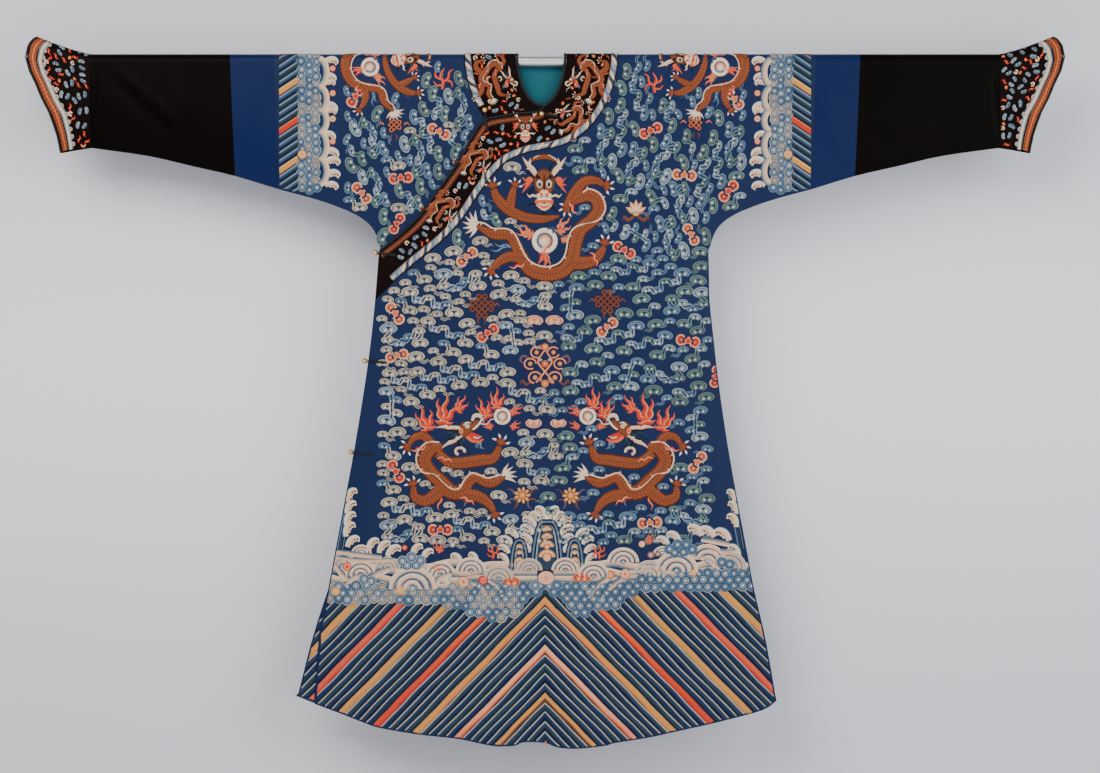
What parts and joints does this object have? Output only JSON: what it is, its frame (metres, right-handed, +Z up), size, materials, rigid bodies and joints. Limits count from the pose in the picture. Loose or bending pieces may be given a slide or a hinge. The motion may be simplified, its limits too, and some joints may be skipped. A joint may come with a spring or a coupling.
{
  "type": "chinese dragon robe hung on a rod",
  "caption": "Chinese court robe with dragons, clouds and waves on blue satin, dark border and horse-hoof cuffs, hung flat with its arms spread on a plain metal rod",
  "frame": {"origin": "the middle of the rod's axis, between the robe's two sleeves", "axes": "X runs along the rod and the sleeves, the wearer's left being +X; Z is up; the front of the robe faces -Y"},
  "size_m": [2.1078, 0.0549, 1.4436],
  "materials": {
    "satin_blue": "indigo blue satin ground with silk and gold embroidery",
    "satin_black": "black satin ground with silk and gold embroidery",
    "satin_royal": "plain royal blue satin",
    "satin_brown": "plain brownish black satin, lightly creased",
    "lining_teal": "plain teal silk lining",
    "cord_black": "black silk piping and cord",
    "gilt_brass": "gilt, softly polished",
    "rod_metal": "satin metal"
  },
  "bodies": {
    "root": {"right_body": "satin_blue", "left_body": "satin_blue", "overlap_front": "satin_blue", "neck_border": "satin_black", "overlap_border": "satin_black", "left_cuff": "satin_black", "right_cuff": "satin_black", "neck_lining": "lining_teal", "left_sleeve_band": "satin_royal", "right_sleeve_band": "satin_royal", "left_sleeve_extension": "satin_brown", "right_sleeve_extension": "satin_brown", "neck_binding": "cord_black", "overlap_binding": "cord_black", "left_cuff_binding": "cord_black", "right_cuff_binding": "cord_black", "button_neck": "gilt_brass", "button_shoulder": "gilt_brass", "button_underarm": "gilt_brass", "button_side_upper": "gilt_brass", "button_side_lower": "gilt_brass", "loop_neck": "cord_black", "loop_shoulder": "cord_black", "loop_underarm": "cord_black", "loop_side_upper": "cord_black", "loop_side_lower": "cord_black", "rod": "rod_metal"}
  },
  "joints": []
}
